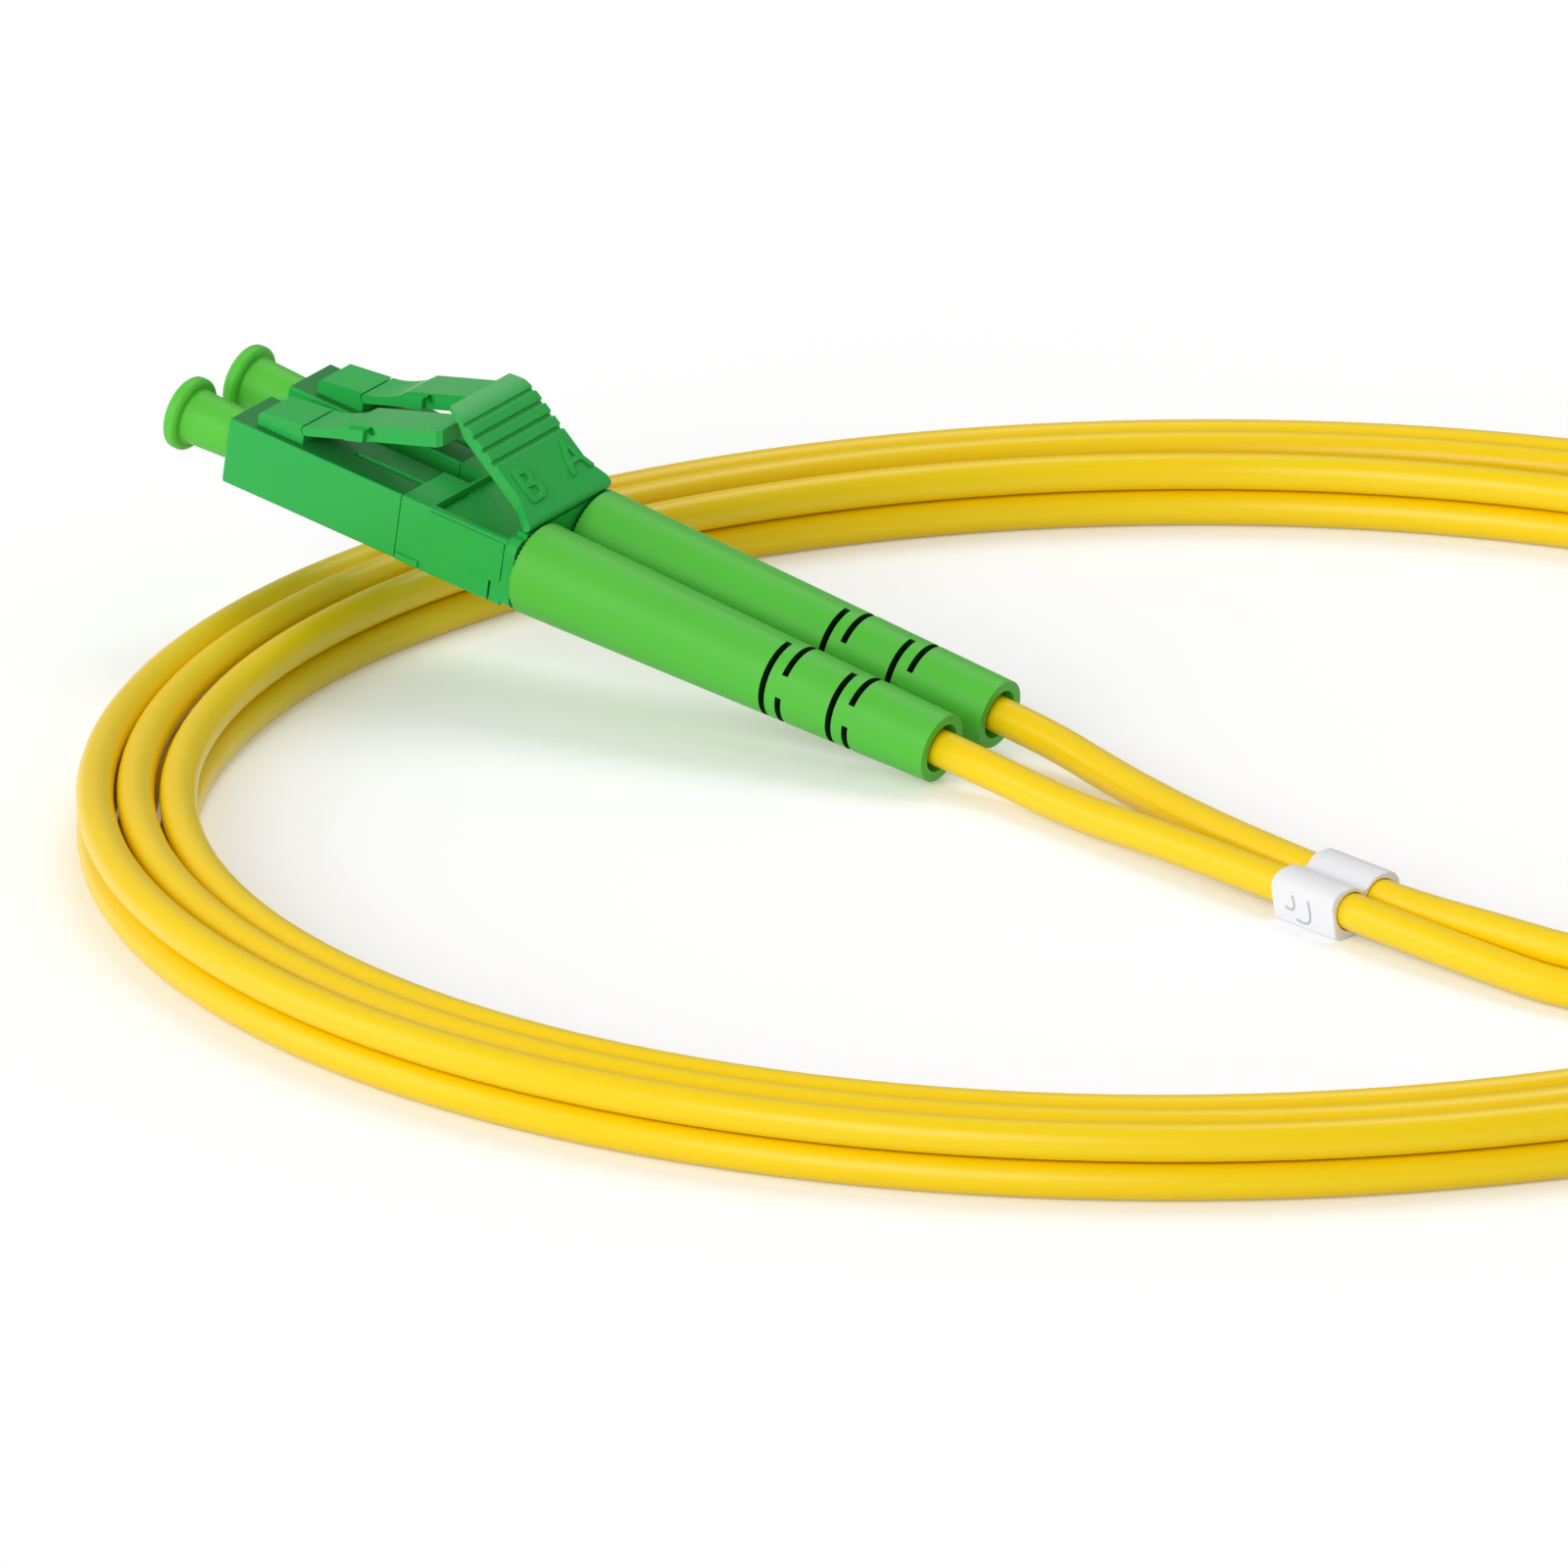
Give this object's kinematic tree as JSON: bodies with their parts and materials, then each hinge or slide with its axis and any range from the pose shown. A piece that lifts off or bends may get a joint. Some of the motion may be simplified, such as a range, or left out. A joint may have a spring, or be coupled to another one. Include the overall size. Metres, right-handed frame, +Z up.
{
  "type": "fibre optic patch cable",
  "caption": "Duplex fibre patch cord, coiled flat, with paired latching plugs, dust caps, a shared trigger clip, long slotted boots and a white cord clip.",
  "frame": {"origin": "on the surface that the cord lies on, under the middle of the box round the two connectors", "axes": "+Z up from that surface; +X the way from the raised connector to the far one, to the right in the picture; +Y away from the camera"},
  "size_m": [0.163, 0.1347, 0.0188],
  "materials": {
    "housing_green": "moulded, glossy",
    "boot_green": "soft moulded, satin",
    "cap_green": "soft moulded, satin",
    "jacket_yellow": "smooth extruded jacket",
    "clip_white": "moulded, smooth",
    "ceramic": "ground and polished",
    "steel": "plain turned and drawn metal",
    "fibre_white": "smooth buffer"
  },
  "bodies": {
    "cord_set": {"near_duplex_clip": "housing_green", "near_front_housing_a": "housing_green", "near_rear_body_a": "housing_green", "near_spring_a": "steel", "near_crimp_ring_a": "steel", "near_boot_a": "boot_green", "near_fibre_a": "fibre_white", "near_cord_end_a": "jacket_yellow", "near_front_housing_b": "housing_green", "near_rear_body_b": "housing_green", "near_spring_b": "steel", "near_crimp_ring_b": "steel", "near_boot_b": "boot_green", "near_fibre_b": "fibre_white", "near_cord_end_b": "jacket_yellow", "far_duplex_clip": "housing_green", "far_front_housing_a": "housing_green", "far_rear_body_a": "housing_green", "far_spring_a": "steel", "far_crimp_ring_a": "steel", "far_boot_a": "boot_green", "far_fibre_a": "fibre_white", "far_cord_end_a": "jacket_yellow", "far_front_housing_b": "housing_green", "far_rear_body_b": "housing_green", "far_spring_b": "steel", "far_crimp_ring_b": "steel", "far_boot_b": "boot_green", "far_fibre_b": "fibre_white", "far_cord_end_b": "jacket_yellow", "near_cord_a": "jacket_yellow", "near_cord_b": "jacket_yellow", "cord_coil": "jacket_yellow", "far_cord_a": "jacket_yellow", "far_cord_b": "jacket_yellow", "near_cord_clip": "clip_white", "far_cord_clip": "clip_white"},
    "near_trigger": {"near_trigger": "housing_green"},
    "near_latch_a": {"near_latch_a": "housing_green"},
    "near_ferrule_a": {"near_ferrule_a": "ceramic", "near_ferrule_flange_a": "steel"},
    "near_dust_cap_a": {"near_dust_cap_a": "cap_green"},
    "near_latch_b": {"near_latch_b": "housing_green"},
    "near_ferrule_b": {"near_ferrule_b": "ceramic", "near_ferrule_flange_b": "steel"},
    "near_dust_cap_b": {"near_dust_cap_b": "cap_green"},
    "far_trigger": {"far_trigger": "housing_green"},
    "far_latch_a": {"far_latch_a": "housing_green"},
    "far_ferrule_a": {"far_ferrule_a": "ceramic", "far_ferrule_flange_a": "steel"},
    "far_dust_cap_a": {"far_dust_cap_a": "cap_green"},
    "far_latch_b": {"far_latch_b": "housing_green"},
    "far_ferrule_b": {"far_ferrule_b": "ceramic", "far_ferrule_flange_b": "steel"},
    "far_dust_cap_b": {"far_dust_cap_b": "cap_green"}
  },
  "joints": [
    {"name": "near_trigger_press", "type": "hinge", "parent": "cord_set", "child": "near_trigger", "pos_m": [-0.05431, 0.0167, 0.01207], "axis": [-0.5729, -0.817, -0.0653], "range_deg": [0, 18], "stiffness_Nm_per_rad": 0.05},
    {"name": "near_latch_a_flex", "type": "hinge", "parent": "cord_set", "child": "near_latch_a", "pos_m": [-0.06577, 0.02827, 0.01577], "axis": [0.5729, 0.817, 0.0653], "range_deg": [0, 15.54]},
    {"name": "near_ferrule_a_float", "type": "slide", "parent": "cord_set", "child": "near_ferrule_a", "axis": [0.8086, -0.5504, -0.2079], "range_m": [0, 0.0009], "stiffness_N_per_m": 2500, "deforming": ["near_spring_a"]},
    {"name": "near_dust_cap_a_pull", "type": "slide", "parent": "cord_set", "child": "near_dust_cap_a", "axis": [-0.8086, 0.5504, 0.2079], "range_m": [0, 0.015]},
    {"name": "near_latch_b_flex", "type": "hinge", "parent": "cord_set", "child": "near_latch_b", "pos_m": [-0.06935, 0.02316, 0.01536], "axis": [0.5729, 0.817, 0.0653], "range_deg": [0, 15.54]},
    {"name": "near_ferrule_b_float", "type": "slide", "parent": "cord_set", "child": "near_ferrule_b", "axis": [0.8086, -0.5504, -0.2079], "range_m": [0, 0.0009], "stiffness_N_per_m": 2500, "deforming": ["near_spring_b"]},
    {"name": "near_dust_cap_b_pull", "type": "slide", "parent": "cord_set", "child": "near_dust_cap_b", "axis": [-0.8086, 0.5504, 0.2079], "range_m": [0, 0.015]},
    {"name": "far_trigger_press", "type": "hinge", "parent": "cord_set", "child": "far_trigger", "pos_m": [0.06508, -0.00532, 0.00605], "axis": [-0.9397, 0.342, 0], "range_deg": [0, 18], "stiffness_Nm_per_rad": 0.05},
    {"name": "far_latch_a_flex", "type": "hinge", "parent": "cord_set", "child": "far_latch_a", "pos_m": [0.07362, 0.00903, 0.00615], "axis": [0.9397, -0.342, 0], "range_deg": [0, 15.54]},
    {"name": "far_ferrule_a_float", "type": "slide", "parent": "cord_set", "child": "far_ferrule_a", "axis": [-0.342, -0.9397, 0], "range_m": [0, 0.0009], "stiffness_N_per_m": 2500, "deforming": ["far_spring_a"]},
    {"name": "far_dust_cap_a_pull", "type": "slide", "parent": "cord_set", "child": "far_dust_cap_a", "axis": [0.342, 0.9397, 0], "range_m": [0, 0.015]},
    {"name": "far_latch_b_flex", "type": "hinge", "parent": "cord_set", "child": "far_latch_b", "pos_m": [0.06775, 0.01116, 0.00615], "axis": [0.9397, -0.342, 0], "range_deg": [0, 15.54]},
    {"name": "far_ferrule_b_float", "type": "slide", "parent": "cord_set", "child": "far_ferrule_b", "axis": [-0.342, -0.9397, 0], "range_m": [0, 0.0009], "stiffness_N_per_m": 2500, "deforming": ["far_spring_b"]},
    {"name": "far_dust_cap_b_pull", "type": "slide", "parent": "cord_set", "child": "far_dust_cap_b", "axis": [0.342, 0.9397, 0], "range_m": [0, 0.015]}
  ],
  "couplings": [
    {"joint": "near_latch_a_flex", "follows": "near_trigger_press", "ratio": 0.86},
    {"joint": "near_latch_b_flex", "follows": "near_trigger_press", "ratio": 0.86},
    {"joint": "far_latch_a_flex", "follows": "far_trigger_press", "ratio": 0.86},
    {"joint": "far_latch_b_flex", "follows": "far_trigger_press", "ratio": 0.86}
  ]
}
